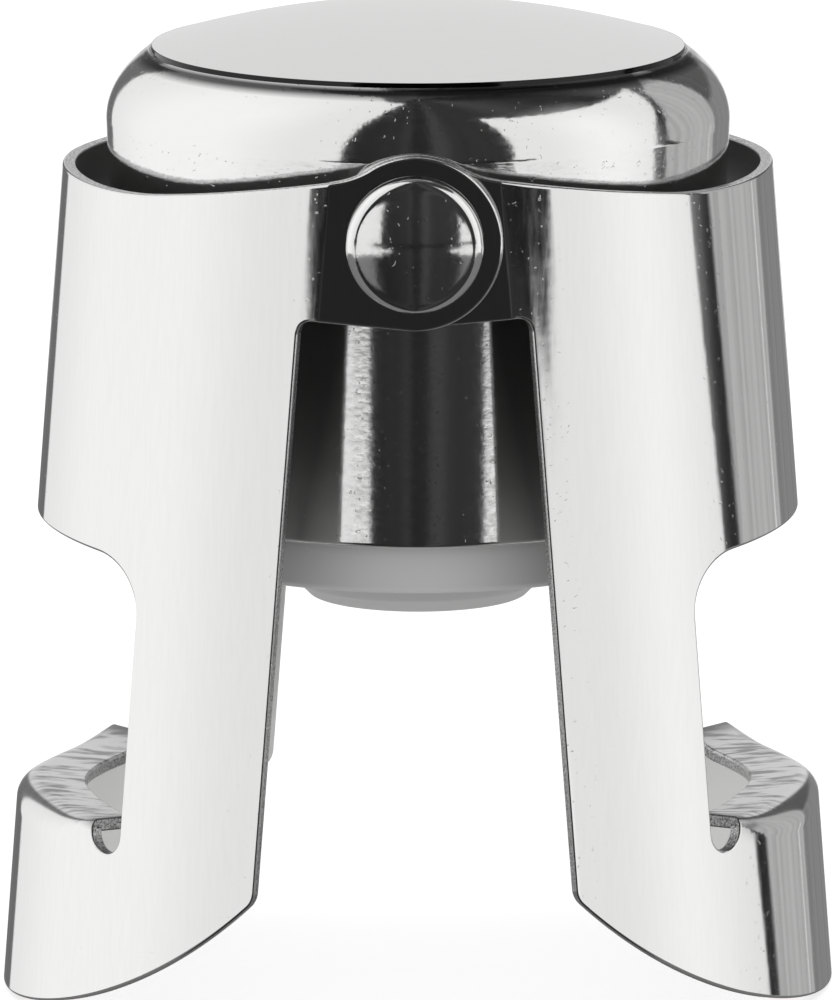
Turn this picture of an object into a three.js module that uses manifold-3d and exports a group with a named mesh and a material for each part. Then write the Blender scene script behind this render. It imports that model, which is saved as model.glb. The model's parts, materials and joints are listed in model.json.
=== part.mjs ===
// Hinged stopper for sparkling wine bottles, in millimetres, +Z up.
// A cushion-shaped cap stands on a round body with a sprung rubber seal. Two pressed steel wings
// turn on a front and a rear rivet. Each wing is one pressing: half a collar, two legs and a foot
// whose top edge is folded in as a hook that grips under the ring of the bottle's neck.
// The origin is on the floor, midway between the feet; the wings' pivot line runs along Y.
// Heights below are measured from the pivot line, which is lifted to its place at the end.

import * as THREE from 'three';
import { mergeVertices } from 'three/addons/utils/BufferGeometryUtils.js';
import Module from 'manifold-3d';

const wasm = await Module();
wasm.setup();

// Wings: one pressing used twice, the second turned half a turn
const wingSheet = 0.7;
const collarRadius = 19.2;
const wingsOpen = THREE.MathUtils.degToRad(4.45);
const earRadius = 4.6;
const earGap = 0.2;
const padMargin = 0.05;
const rimSideHeight = 0.1;
const rimBendHeight = 0.6;
const rimBendReach = 14.3;
const rimLevelReach = 16.55;
const rimEarHeight = 2.75;
const rimEarReach = 5.2;
const rimEarBlend = 1.1;
const strapDrop = 4.5;
const strapCorner = 0.8;
const collarDrop = 19;
const windowCornerWidth = 2.3;
const windowCornerHeight = 3;
const legInnerReach = 5.75;
const legOuterReach = 13.2;
const tipDrop = 35.85;
const tipCorner = 0.5;
const footDrop = 45.3;
const footArcRadius = 33;
const hookDrop = 33.85;
const hookWidth = 3.7;
const hookHalfAngle = THREE.MathUtils.degToRad(40);
const hookBendRadius = 1.15;
const foldOverlap = 0.05;
const trimHeight = 0.5;
const notchDepth = 1.1;

// Cap: a drawn shell with a domed top, a rounded shoulder and a lip curled in at the bottom
const capClearance = 0.68;
const capSheet = 0.6;
const creaseInset = 2.85;
const domeRise = 2.05;
const shoulderWidth = 8;
const shoulderHeight = 5.3;
const shoulderFoot = 3.85;
const capSideBottom = 1.4;
const lipWidth = 2;
const lipHeight = 2;

// Body: a steel sleeve, flanged out at the top inside the cap
const capOverhang = 2.4;
const sleeveSheet = 0.5;
const sleeveDrop = 17.1;
const sleeveEdge = 0.3;
const sleeveFlangeWidth = 1.2;
const sleeveFlangeHeight = 0.3;

// Moulded core that fills the cap, with a pocket for the spring and a recess for the rivets' tails
const coreSideDrop = 11.8;
const coreWebTopDrop = 3.3;
const coreWebThickness = 1.5;
const springPocketWall = 3.2;
const recessEndWall = 4;
const recessHalfWidth = 6.5;

// Pivots: a rivet, a bush that keeps the ears off the cap, and a burr washer under the tail
const shankRadius = 1.5;
const headRadius = 3.6;
const headThickness = 1.45;
const headEdge = 0.6;
const headCrown = 0.5;
const tailRadius = 2.2;
const tailLength = 0.9;
const bushRadius = 2.4;
const burrRadius = 2.9;
const burrThickness = 0.6;

// Plunger, seal and spring
const plungerTravel = 2.4;
const plungerFlangeThickness = 1.9;
const stemRadius = 2.2;
const stemGrooveDepth = 0.5;
const stemHead = 0.8;
const clipRadius = 3.4;
const clipThickness = 0.6;
const plugRadius = 4;
const plugLength = 1.8;
const sealGap = 0.4;
const sealDrop = 19.7;
const sealEdge = 0.3;
const bossRadius = 6.9;
const bossTaper = 0.3;
const bossLength = 2.5;
const bossChamfer = 0.7;
const springInset = 2.8;
const springWire = 1.1;
const springTurns = 4.5;

// Clearances
const fitGap = 0.3;
const pinGap = 0.1;
const washerGap = 0.1;
const overrun = 2;

// Facets
const facetAngle = THREE.MathUtils.degToRad(3);
const ringFacets = Math.round(Math.PI * 2 / facetAngle);
const turnedFacets = 48;
const rivetFacets = 24;
const curveSteps = 6;
const domeSteps = 3;
const springTurnSteps = 8;
const springSides = 5;

const steel = { color: 0xc9c9c7, roughness: 0.12, metalness: 1 };
const satinSteel = { color: 0xb4b4b2, roughness: 0.3, metalness: 1 };
const springSteel = { color: 0x8e8f92, roughness: 0.35, metalness: 1 };
const mouldedPlastic = { color: 0x3a3b3d, roughness: 0.5, metalness: 0 };
const greyPlastic = { color: 0x808283, roughness: 0.45, metalness: 0 };
const greyRubber = { color: 0x8f9192, roughness: 0.6, metalness: 0 };

// Solids
function toSolid(geometry) {
  const bare = geometry.clone();
  bare.deleteAttribute('normal');
  bare.deleteAttribute('uv');
  const merged = mergeVertices(bare);
  const mesh = new wasm.Mesh({
    numProp: 3,
    vertProperties: new Float32Array(merged.attributes.position.array),
    triVerts: new Uint32Array(merged.index.array),
  });
  return new wasm.Manifold(mesh);
}

function toGeometry(solid) {
  const mesh = solid.getMesh();
  const geometry = new THREE.BufferGeometry();
  geometry.setAttribute('position', new THREE.BufferAttribute(mesh.vertProperties, 3));
  geometry.setIndex(new THREE.BufferAttribute(mesh.triVerts, 1));
  geometry.computeVertexNormals();
  return geometry;
}

// A profile of radius and height, turned round the Z axis
function turned(profile, facets = turnedFacets) {
  const geometry = new THREE.LatheGeometry(profile, facets);
  geometry.rotateX(Math.PI / 2);
  return geometry;
}

// A profile of radius and distance from the centre, turned round the -Y axis
function turnedTowardsFront(profile, facets = rivetFacets) {
  const geometry = new THREE.LatheGeometry(profile, facets);
  geometry.rotateX(Math.PI);
  return geometry;
}

// An outline in X and Z, extruded along Y between two planes
function extrudedAlongY(shape, front, back) {
  const geometry = new THREE.ExtrudeGeometry(shape, {
    depth: back - front,
    bevelEnabled: false,
    curveSegments: curveSteps,
  });
  geometry.rotateX(Math.PI / 2);
  geometry.translate(0, back, 0);
  return geometry;
}

// An outline in X and Y, extruded along Z between two heights
function extrudedAlongZ(shape, bottom, top) {
  const geometry = new THREE.ExtrudeGeometry(shape, {
    depth: top - bottom,
    bevelEnabled: false,
    curveSegments: curveSteps,
  });
  geometry.translate(0, 0, bottom);
  return geometry;
}

// Points of a circular or elliptical arc, ends included
function arc(centreX, centreY, radiusX, radiusY, from, to, steps = curveSteps) {
  const points = [];
  for (let i = 0; i <= steps; i += 1) {
    const angle = from + (to - from) * i / steps;
    const x = centreX + radiusX * Math.cos(angle);
    const y = centreY + radiusY * Math.sin(angle);
    points.push(new THREE.Vector2(x, y));
  }
  return points;
}

// Angles from -limit to limit on whole facets, with the two limits themselves as ends
function facetAngles(limit) {
  const whole = Math.floor(limit / facetAngle - 1e-6);
  const angles = [-limit];
  for (let i = -whole; i <= whole; i += 1) angles.push(i * facetAngle);
  angles.push(limit);
  return angles;
}

function named(name, geometry, finish) {
  const mesh = new THREE.Mesh(geometry, new THREE.MeshStandardMaterial(finish));
  mesh.name = name;
  return mesh;
}

// Sizes that follow from the ones above
const padHalfWidth = earRadius + padMargin;
const padOuter = Math.sqrt(collarRadius ** 2 - padHalfWidth ** 2);
const padInner = padOuter - wingSheet;
const wingShift = (wingSheet + earGap) / 2;
const hookOpeningRadius = collarRadius - hookWidth;
const capRadius = padInner - wingShift - capClearance;
const creaseRadius = capRadius - creaseInset;
const sleeveRadius = capRadius - capOverhang;
const creaseAngle = Math.acos((creaseRadius - capRadius + shoulderWidth) / shoulderWidth);
const creaseHeight = shoulderFoot + shoulderHeight * Math.sin(creaseAngle);
const sleeveInner = sleeveRadius - sleeveSheet;
const coreRadius = sleeveInner - fitGap;
const springPocketRadius = coreRadius - springPocketWall;
const recessHalfLength = coreRadius - recessEndWall;
const springRadius = springPocketRadius - springInset;
const coreShoulder = sleeveFlangeHeight + sleeveSheet + fitGap;
const coreWebBottom = -coreWebTopDrop - coreWebThickness;
const plungerFlangeTop = -coreSideDrop - plungerTravel - fitGap;
const plungerFlangeBottom = plungerFlangeTop - plungerFlangeThickness;
const plungerRadius = sleeveInner - fitGap;
const clipSeat = -coreWebTopDrop + washerGap;
const grooveTop = clipSeat + clipThickness + washerGap;
const sealRadius = sleeveInner - sealGap;
const sealTop = plungerFlangeBottom - fitGap;
const headSeat = padOuter + wingShift + washerGap;
const burrSeat = recessHalfLength - washerGap;
const tailSeat = burrSeat - burrThickness - washerGap;
const bushOuterEnd = padInner - wingShift - washerGap;
const bushInnerEnd = recessHalfLength + washerGap;

// Outline of a wing's outer or inner face seen from above: an arc with a flat pad at each ear
function wingPlan(radius, padReach, end) {
  const points = [new THREE.Vector2(end, -padReach)];
  for (const angle of facetAngles(Math.asin(padReach / radius))) {
    points.push(new THREE.Vector2(radius * Math.cos(angle), radius * Math.sin(angle)));
  }
  points.push(new THREE.Vector2(end, padReach));
  return new THREE.Shape(points);
}

// Where the sloping rim meets the ear's circle, on the side of the ear that faces the wing
function rimMeetsEar() {
  const slope = (rimBendHeight - rimEarHeight) / (rimBendReach - rimEarReach);
  const height = rimEarHeight - slope * rimEarReach;
  const a = 1 + slope ** 2;
  const b = slope * height;
  const c = height ** 2 - earRadius ** 2;
  const reach = (-b + Math.sqrt(b ** 2 - a * c)) / a;
  return { reach, height: height + slope * reach, slope };
}

// Centre of the circle of the foot's lower edge, through the leg's tip and the foot's lowest point
function footArcCentre() {
  const middle = new THREE.Vector2(legInnerReach + collarRadius, -tipDrop - footDrop).multiplyScalar(0.5);
  const chord = new THREE.Vector2(collarRadius - legInnerReach, tipDrop - footDrop);
  const height = Math.sqrt(footArcRadius ** 2 - chord.lengthSq() / 4);
  const normal = new THREE.Vector2(-chord.y, chord.x).normalize();
  return middle.addScaledVector(normal, height);
}

// Outline of a wing seen from the front: ear, sloping rim, collar, leg, foot, and the window
function wingSide() {
  const outside = collarRadius + overrun;
  const meet = rimMeetsEar();
  const meetAngle = Math.atan2(meet.height, meet.reach);
  const blendAngle = rimEarBlend / earRadius;
  const centre = footArcCentre();
  const footEnd = Math.atan2(-footDrop - centre.y, collarRadius - centre.x);
  const footStart = Math.atan2(-tipDrop - centre.y, legInnerReach - centre.x) + tipCorner / footArcRadius;
  const shape = new THREE.Shape();
  shape.moveTo(outside, -collarDrop);
  shape.lineTo(outside, rimSideHeight);
  shape.lineTo(collarRadius, rimSideHeight);
  shape.quadraticCurveTo(rimLevelReach, rimSideHeight, rimBendReach, rimBendHeight);
  shape.lineTo(meet.reach + rimEarBlend, meet.height + meet.slope * rimEarBlend);
  const ear = arc(0, 0, earRadius, earRadius, meetAngle + blendAngle, Math.PI * 1.5, curveSteps * 3);
  shape.quadraticCurveTo(meet.reach, meet.height, ear[0].x, ear[0].y);
  for (const point of ear) shape.lineTo(point.x, point.y);
  shape.lineTo(legInnerReach - strapCorner, -strapDrop);
  shape.quadraticCurveTo(legInnerReach, -strapDrop, legInnerReach, -strapDrop - strapCorner);
  shape.lineTo(legInnerReach, -tipDrop + tipCorner);
  const tip = arc(centre.x, centre.y, footArcRadius, footArcRadius, footStart, footEnd, curveSteps * 2);
  shape.quadraticCurveTo(legInnerReach, -tipDrop, tip[0].x, tip[0].y);
  for (const point of tip) shape.lineTo(point.x, point.y);
  shape.lineTo(outside, -footDrop);
  shape.lineTo(outside, trimHeight - hookDrop);
  shape.lineTo(legOuterReach, trimHeight - hookDrop);
  const cornerReach = legOuterReach + windowCornerWidth;
  const cornerDrop = -collarDrop - windowCornerHeight;
  const corner = arc(cornerReach, cornerDrop, windowCornerWidth, windowCornerHeight, Math.PI, Math.PI / 2);
  for (const point of corner) shape.lineTo(point.x, point.y);
  return shape;
}

// Wedge of the plan between two equal angles on either side of +X
function wedge(halfAngle, bottom, top) {
  const far = collarRadius + overrun;
  const shape = new THREE.Shape([
    new THREE.Vector2(0, 0),
    new THREE.Vector2(far, -far * Math.tan(halfAngle)),
    new THREE.Vector2(far, far * Math.tan(halfAngle)),
  ]);
  return toSolid(extrudedAlongZ(shape, bottom, top));
}

// What stays of the hollow as the hook: a level plate, curved into the foot below it
function hookPlate() {
  const centre = collarRadius - hookBendRadius;
  const foldStart = -hookDrop - hookBendRadius;
  const bend = hookBendRadius - wingSheet;
  const far = collarRadius + overrun;
  const ring = turned([
    new THREE.Vector2(hookOpeningRadius, foldStart + bend),
    ...arc(centre, foldStart, bend + foldOverlap, bend, Math.PI / 2, 0),
    new THREE.Vector2(far, foldStart),
    new THREE.Vector2(far, trimHeight * 2 - hookDrop),
    new THREE.Vector2(hookOpeningRadius, trimHeight * 2 - hookDrop),
    new THREE.Vector2(hookOpeningRadius, foldStart + bend),
  ], ringFacets);
  return toSolid(ring).intersect(wedge(hookHalfAngle, foldStart - overrun, overrun - hookDrop));
}

// What is cleared above the hook and off the outside of its fold
function foldTrim() {
  const centre = collarRadius - hookBendRadius;
  const foldStart = -hookDrop - hookBendRadius;
  const far = collarRadius + overrun;
  const near = hookOpeningRadius - overrun;
  const ring = turned([
    new THREE.Vector2(near, -hookDrop),
    ...arc(centre, foldStart, hookBendRadius + foldOverlap, hookBendRadius, Math.PI / 2, 0),
    new THREE.Vector2(far, foldStart),
    new THREE.Vector2(far, overrun - hookDrop),
    new THREE.Vector2(near, overrun - hookDrop),
    new THREE.Vector2(near, -hookDrop),
  ], ringFacets);
  const limit = hookHalfAngle + facetAngle;
  return toSolid(ring).intersect(wedge(limit, foldStart - overrun, overrun * 2 - hookDrop));
}

// The round-bottomed slots that part the hook from the legs
function notches() {
  const end = collarRadius * Math.cos(hookHalfAngle) + foldOverlap;
  const halfWidth = (end - legOuterReach) / 2;
  const far = collarRadius + overrun;
  const shape = new THREE.Shape([
    new THREE.Vector2(end, overrun - hookDrop),
    new THREE.Vector2(legOuterReach, overrun - hookDrop),
    ...arc(legOuterReach + halfWidth, -hookDrop, halfWidth, notchDepth, Math.PI, Math.PI * 2),
  ]);
  const slots = toSolid(extrudedAlongY(shape, -far, far));
  const bottom = -hookDrop - notchDepth - overrun;
  return slots.subtract(wedge(hookHalfAngle, bottom, overrun * 2 - hookDrop));
}

function wingGeometry() {
  const bottom = -footDrop - overrun;
  const top = earRadius + overrun;
  const far = collarRadius + overrun;
  const outside = wingPlan(collarRadius, padOuter, -earRadius - overrun);
  const inside = wingPlan(collarRadius - wingSheet, padInner, -earRadius - overrun * 2);
  const hollow = toSolid(extrudedAlongZ(inside, bottom - overrun, top + overrun)).subtract(hookPlate());
  const removed = hollow.add(notches()).add(foldTrim());
  const side = toSolid(extrudedAlongY(wingSide(), -far, far));
  const hole = toSolid(extrudedAlongY(circle(shankRadius + pinGap), -far, far));
  const block = toSolid(extrudedAlongZ(outside, bottom, top)).intersect(side);
  return toGeometry(block.subtract(removed).subtract(hole));
}

function circle(radius) {
  return new THREE.Shape(arc(0, 0, radius, radius, 0, Math.PI * 2, rivetFacets).slice(0, -1));
}

// A round bar along Y through the whole width, for the holes of the pivots
function pivotBar(radius) {
  const far = collarRadius + overrun;
  return toSolid(extrudedAlongY(circle(radius), -far, far));
}

// The cap's section, offset inwards from its outer face: dome, shoulder and curled lip
function capSection(inset) {
  const radiusX = shoulderWidth - inset;
  const radiusY = shoulderHeight - inset;
  const shoulder = arc(capRadius - shoulderWidth, shoulderFoot, radiusX, radiusY, creaseAngle, 0);
  const lipX = lipWidth - inset;
  const lipY = lipHeight - inset;
  const lip = arc(capRadius - lipWidth, capSideBottom, lipX, lipY, 0, -Math.PI / 2);
  const dome = [];
  for (let i = 0; i < domeSteps; i += 1) {
    const share = i / domeSteps;
    dome.push(new THREE.Vector2(shoulder[0].x * share, shoulder[0].y + domeRise * (1 - share ** 2)));
  }
  return [...dome, ...shoulder, ...lip];
}

function capGeometry() {
  const profile = [...capSection(capSheet), ...capSection(0).reverse()];
  const shell = toSolid(turned(profile));
  return toGeometry(shell.subtract(pivotBar(bushRadius + fitGap)));
}

function coreGeometry() {
  const inset = capSheet + fitGap;
  const shoulder = arc(capRadius - shoulderWidth, shoulderFoot, shoulderWidth - inset,
    shoulderHeight - inset, 0, creaseAngle);
  const profile = [
    new THREE.Vector2(stemRadius + pinGap, coreWebBottom),
    new THREE.Vector2(springPocketRadius, coreWebBottom),
    new THREE.Vector2(springPocketRadius, -coreSideDrop),
    new THREE.Vector2(coreRadius, -coreSideDrop),
    new THREE.Vector2(coreRadius, coreShoulder),
    new THREE.Vector2(capRadius - inset, coreShoulder),
    ...shoulder,
    new THREE.Vector2(stemRadius + pinGap, shoulder[curveSteps].y),
    new THREE.Vector2(stemRadius + pinGap, coreWebBottom),
  ];
  const height = creaseHeight + coreWebTopDrop + overrun;
  const recess = new THREE.BoxGeometry(recessHalfWidth * 2, recessHalfLength * 2, height);
  recess.translate(0, 0, height / 2 - coreWebTopDrop);
  const body = toSolid(turned(profile)).subtract(toSolid(recess));
  return toGeometry(body.subtract(pivotBar(bushRadius + washerGap)));
}

function sleeveGeometry() {
  const top = sleeveFlangeHeight + sleeveSheet;
  const profile = [
    new THREE.Vector2(sleeveInner, top),
    new THREE.Vector2(sleeveInner, -sleeveDrop),
    new THREE.Vector2(sleeveRadius - sleeveEdge, -sleeveDrop),
    new THREE.Vector2(sleeveRadius, sleeveEdge - sleeveDrop),
    new THREE.Vector2(sleeveRadius, sleeveFlangeHeight),
    new THREE.Vector2(sleeveRadius + sleeveFlangeWidth, sleeveFlangeHeight),
    new THREE.Vector2(sleeveRadius + sleeveFlangeWidth, top),
    new THREE.Vector2(sleeveInner, top),
  ];
  return toGeometry(toSolid(turned(profile)).subtract(pivotBar(bushRadius + washerGap)));
}

function rivetGeometry() {
  const top = headSeat + headThickness;
  const crown = [];
  for (let i = 0; i < domeSteps; i += 1) {
    const share = i / domeSteps;
    crown.push(new THREE.Vector2((headRadius - headEdge) * share, top - headCrown * share ** 2));
  }
  const edgeHeight = top - headCrown - headEdge;
  const profile = [
    ...crown,
    ...arc(headRadius - headEdge, edgeHeight, headEdge, headEdge, Math.PI / 2, 0, curveSteps / 2),
    new THREE.Vector2(headRadius, headSeat),
    new THREE.Vector2(shankRadius, headSeat),
    new THREE.Vector2(shankRadius, tailSeat),
    new THREE.Vector2(tailRadius, tailSeat),
    new THREE.Vector2(tailRadius, tailSeat - tailLength / 2),
    new THREE.Vector2(shankRadius, tailSeat - tailLength),
    new THREE.Vector2(0, tailSeat - tailLength),
  ];
  return turnedTowardsFront(profile.reverse());
}

function ringGeometry(inner, outer, near, far) {
  return turnedTowardsFront([
    new THREE.Vector2(inner, near),
    new THREE.Vector2(outer, near),
    new THREE.Vector2(outer, far),
    new THREE.Vector2(inner, far),
    new THREE.Vector2(inner, near),
  ]);
}

function plungerGeometry() {
  const plugEnd = plungerFlangeBottom - plugLength;
  const groove = stemRadius - stemGrooveDepth;
  return turned([
    new THREE.Vector2(0, plugEnd),
    new THREE.Vector2(plugRadius, plugEnd),
    new THREE.Vector2(plugRadius, plungerFlangeBottom),
    new THREE.Vector2(plungerRadius, plungerFlangeBottom),
    new THREE.Vector2(plungerRadius, plungerFlangeTop),
    new THREE.Vector2(stemRadius, plungerFlangeTop),
    new THREE.Vector2(stemRadius, -coreWebTopDrop),
    new THREE.Vector2(groove, -coreWebTopDrop),
    new THREE.Vector2(groove, grooveTop),
    new THREE.Vector2(stemRadius, grooveTop),
    new THREE.Vector2(stemRadius, grooveTop + stemHead),
    new THREE.Vector2(0, grooveTop + stemHead),
  ], rivetFacets * 2);
}

function clipGeometry() {
  const inner = stemRadius - stemGrooveDepth + pinGap;
  return turned([
    new THREE.Vector2(inner, clipSeat),
    new THREE.Vector2(clipRadius, clipSeat),
    new THREE.Vector2(clipRadius, clipSeat + clipThickness),
    new THREE.Vector2(inner, clipSeat + clipThickness),
    new THREE.Vector2(inner, clipSeat),
  ], rivetFacets);
}

function sealGeometry() {
  const socketRadius = plugRadius + fitGap;
  const socketBottom = plungerFlangeBottom - plugLength - fitGap;
  const bossEnd = -sealDrop - bossLength;
  return turned([
    new THREE.Vector2(0, bossEnd),
    new THREE.Vector2(bossRadius - bossTaper - bossChamfer, bossEnd),
    new THREE.Vector2(bossRadius - bossTaper, bossEnd + bossChamfer),
    new THREE.Vector2(bossRadius, -sealDrop),
    new THREE.Vector2(sealRadius - sealEdge, -sealDrop),
    new THREE.Vector2(sealRadius, -sealDrop + sealEdge),
    new THREE.Vector2(sealRadius, sealTop),
    new THREE.Vector2(socketRadius, sealTop),
    new THREE.Vector2(socketRadius, socketBottom),
    new THREE.Vector2(0, socketBottom),
  ]);
}

// The spring's wire follows a helix between the core's web and the plunger's flange
class SpringLine extends THREE.Curve {
  constructor(bottom, top) {
    super();
    this.bottom = bottom;
    this.top = top;
  }

  getPoint(share, target = new THREE.Vector3()) {
    const angle = share * springTurns * Math.PI * 2;
    const height = this.bottom + (this.top - this.bottom) * share;
    return target.set(springRadius * Math.cos(angle), springRadius * Math.sin(angle), height);
  }
}

function springGeometry() {
  const bottom = plungerFlangeTop + fitGap + springWire / 2;
  const top = coreWebBottom - fitGap - springWire / 2;
  const line = new SpringLine(bottom, top);
  const section = new THREE.Shape(
    arc(0, 0, springWire / 2, springWire / 2, 0, Math.PI * 2, springSides).slice(0, -1),
  );
  const steps = Math.round(springTurns * springTurnSteps);
  const points = line.getPoints(steps);
  const nextTurn = springTurnSteps - 1;
  let least = Infinity;
  for (let i = 0; i < points.length; i += 1) {
    for (let j = i + nextTurn; j < points.length; j += 1) {
      least = Math.min(least, points[i].distanceTo(points[j]) - springWire);
    }
  }
  console.log(`spring: least gap between turns ${least.toFixed(2)} mm`);
  return new THREE.ExtrudeGeometry(section, { steps, bevelEnabled: false, extrudePath: line });
}

// Assembly, built round the pivot line
const assembly = new THREE.Group();
assembly.add(named('cap_shell', capGeometry(), steel));
assembly.add(named('cap_core', coreGeometry(), mouldedPlastic));
assembly.add(named('body_sleeve', sleeveGeometry(), steel));
assembly.add(named('plunger', plungerGeometry(), greyPlastic));
assembly.add(named('retaining_clip', clipGeometry(), satinSteel));
assembly.add(named('seal', sealGeometry(), greyRubber));
assembly.add(named('spring', springGeometry(), springSteel));

// The left wing's ear lies outside at the front, the right wing's at the rear
for (const [side, halfTurns, tilt] of [['left', 1, wingsOpen], ['right', 0, -wingsOpen]]) {
  const wing = named(`${side}_wing`, wingGeometry(), steel);
  wing.rotation.z = halfTurns * Math.PI;
  wing.position.y = side === 'left' ? -wingShift : wingShift;
  const hinge = new THREE.Group();
  hinge.rotation.y = tilt;
  hinge.add(wing);
  assembly.add(hinge);
}

for (const [end, halfTurns] of [['front', 0], ['rear', 1]]) {
  const pivot = new THREE.Group();
  pivot.add(named(`${end}_rivet`, rivetGeometry(), steel));
  const bush = ringGeometry(shankRadius + pinGap, bushRadius, bushInnerEnd, bushOuterEnd);
  const burr = ringGeometry(shankRadius + pinGap, burrRadius, burrSeat - burrThickness, burrSeat);
  pivot.add(named(`${end}_bush`, bush, satinSteel));
  pivot.add(named(`${end}_burr`, burr, satinSteel));
  pivot.rotation.z = halfTurns * Math.PI;
  assembly.add(pivot);
}

// The feet stand on the floor at their outermost points
assembly.position.z = footDrop * Math.cos(wingsOpen) - collarRadius * Math.sin(wingsOpen);

const stopper = new THREE.Group();
stopper.add(assembly);
stopper.updateMatrixWorld(true);

export default stopper;
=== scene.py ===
"""Studio scene for the hinged stopper for sparkling wine bottles.

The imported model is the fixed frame: the pieces made here ride on its bodies and stand for its nodes.
Sizes are in metres. Heights of the pieces are measured from the pivot line of the two wings.
"""

import json
import math
from collections import namedtuple

import bmesh
import bpy
from mathutils import Matrix, Vector


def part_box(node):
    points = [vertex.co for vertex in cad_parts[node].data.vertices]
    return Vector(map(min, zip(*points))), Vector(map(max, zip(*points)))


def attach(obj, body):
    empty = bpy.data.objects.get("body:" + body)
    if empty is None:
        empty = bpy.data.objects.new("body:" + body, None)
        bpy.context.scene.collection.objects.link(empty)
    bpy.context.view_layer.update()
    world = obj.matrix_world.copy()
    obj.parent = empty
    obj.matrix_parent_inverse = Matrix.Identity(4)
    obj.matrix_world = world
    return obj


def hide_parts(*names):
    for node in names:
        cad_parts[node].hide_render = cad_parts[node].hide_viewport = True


bl_info = {
    "name": "Hinged bottle stopper",
    "version": (1, 0, 0),
    "blender": (4, 5, 0),
    "location": "View3D > Sidebar > Stopper",
    "description": "Builds the visible pieces, finishes and studio of a hinged bottle stopper",
    "category": "Object",
}

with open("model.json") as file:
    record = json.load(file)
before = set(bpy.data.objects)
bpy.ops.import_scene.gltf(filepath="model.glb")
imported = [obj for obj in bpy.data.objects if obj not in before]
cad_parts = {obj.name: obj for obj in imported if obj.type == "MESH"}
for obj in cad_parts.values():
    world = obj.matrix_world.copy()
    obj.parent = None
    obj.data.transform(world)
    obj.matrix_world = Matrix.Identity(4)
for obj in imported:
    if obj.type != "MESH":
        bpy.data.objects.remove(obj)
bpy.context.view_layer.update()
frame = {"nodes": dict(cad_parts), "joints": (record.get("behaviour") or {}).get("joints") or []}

MM = 0.001
MICRON = 0.000001
HINGE = next(j for j in frame["joints"] if j["name"] == "right_wing_hinge")
PIVOT = Vector(HINGE["pos_m"])

# Points closer than WELD are one point, and a cut takes points nearer than ON_PLANE as lying on it
WELD = 1e-7
ON_PLANE = 1e-8

# The wing's outline, as reaches from the middle and heights from the pivot line
COLLAR_RADIUS = 19.2 * MM
PAD_REACH = 4.65 * MM
PAD_FACE = math.sqrt(COLLAR_RADIUS**2 - PAD_REACH**2)
EAR_RADIUS = 4.6 * MM
RIM_HEIGHT = 0.1 * MM
RIM_BEND = Vector((14.3, 0.6)) * MM
RIM_AT_EAR = Vector((5.2, 2.75)) * MM
RIM_BLEND = 1.1 * MM
STRAP_HEIGHT = -4.5 * MM
STRAP_CORNER = 0.8 * MM
COLLAR_HEIGHT = -19 * MM
WINDOW_CORNER = Vector((2.3, 3.0)) * MM
LEG_INNER = 5.75 * MM
LEG_OUTER = 13.2 * MM
TIP_HEIGHT = -35.85 * MM
TIP_CORNER = 0.5 * MM
FOOT_HEIGHT = -45.25 * MM
FOOT_ARC = 33 * MM
HOOK_HEIGHT = -33.85 * MM
HOOK_OPENING = 15.5 * MM
HOOK_ANGLE = math.radians(40)
FOLD_RADIUS = 1.15 * MM
FLANK_EXTRA = 0.5 * MM
HORN_START = math.radians(26)
HORN_RADIUS = 0.45 * MM
HORN_RISE = 0.5 * MM
TONGUE_CORNER = 0.45 * MM
WING_SHIFT = 0.45 * MM

# How finely the wing is drawn and bent, and how far up the pattern its hook can reach
RIM_STEPS = 30
EAR_STEPS = 60
FOOT_STEPS = 60
LINE_STEPS = 24
CORNER_STEPS = 8
EDGE_STEPS = 5
STRIP_ANGLE = math.radians(1.25)
FOLD_ROWS = 20
ROWS_PAST_FOLD = 0.2 * MM
HOOK_REACH = 6 * MM

# Where the painted shade on the tip of a hook plate starts and ends, as shares of the way to the hook's
# end
TIP_START_SHARE = 0.876
TIP_END_SHARE = 0.996

# The cap's section, with the shoulder as a quarter of an ellipse
CAP_SHEET = 0.6 * MM
CAP_TOP = 9.95 * MM
CAP_DRAFT = math.radians(2)
SHOULDER_WIDTH = 8 * MM
SHOULDER_RISE = 5.3 * MM
SHOULDER_FOOT = 3.85 * MM
SHOULDER_STEPS = 64
LIP_HEIGHT = 0.7 * MM
LIP_RADIUS = 1.6 * MM
LIP_STEPS = 12
DOME_INSET = 0.2 * MM
DOME_STEPS = 24

# The crease's groove as steps out and up from its ridge, in millimetres
GROOVE = (
    (-0.15, 0.23),
    (-0.12, 0.16),
    (-0.1, 0.02),
    (-0.08, -0.05),
    (-0.05, -0.07),
    (0, -0.02),
    (0.05, 0.0),
)
# How many of the shoulder's first points the groove replaces
GROOVE_COVERS = 3

# Painted shade at the crease, for the dark reflection in its groove and on the shoulder below it, by how
# far outside the ridge a point lies, in millimetres
PAINTED_SHADE_BAND = 0.9
GROOVE_START = -0.17
RIDGE_START = -0.02
SHOULDER_START = 0.12
FADE_START = 0.42
FADE_RATE = 2.4
RIDGE_PAINTED_SHADE = 0.35
SHOULDER_PAINTED_SHADE = 0.93

# The sleeve's sheet, flange and rounded edges
SLEEVE_SHEET = 0.5 * MM
FLANGE_WIDTH = 1.2 * MM
FLANGE_HEIGHT = 0.3 * MM
SLEEVE_EDGE = 0.1 * MM
SLEEVE_ROUNDING = 0.3 * MM

# Heights of the seal's faces, and the hole in its back
SEAL_BACK = -16.7 * MM
SEAL_FACE = -19.7 * MM
BOSS_END = -22.2 * MM
SEAL_HOLE = 4.3 * MM
SEAL_HOLE_END = -18.5 * MM

# The rivets' heads, shanks and closed tails
HEAD_RADIUS = 3.6 * MM
HEAD_EDGE = 0.6 * MM
HEAD_RISE = 0.62 * MM
HEAD_GAP = 0.1 * MM
HEAD_STEPS = 16
SHANK_RADIUS = 1.5 * MM
TAIL_RADIUS = 2.2 * MM
TAIL_LENGTH = 0.9 * MM

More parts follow.
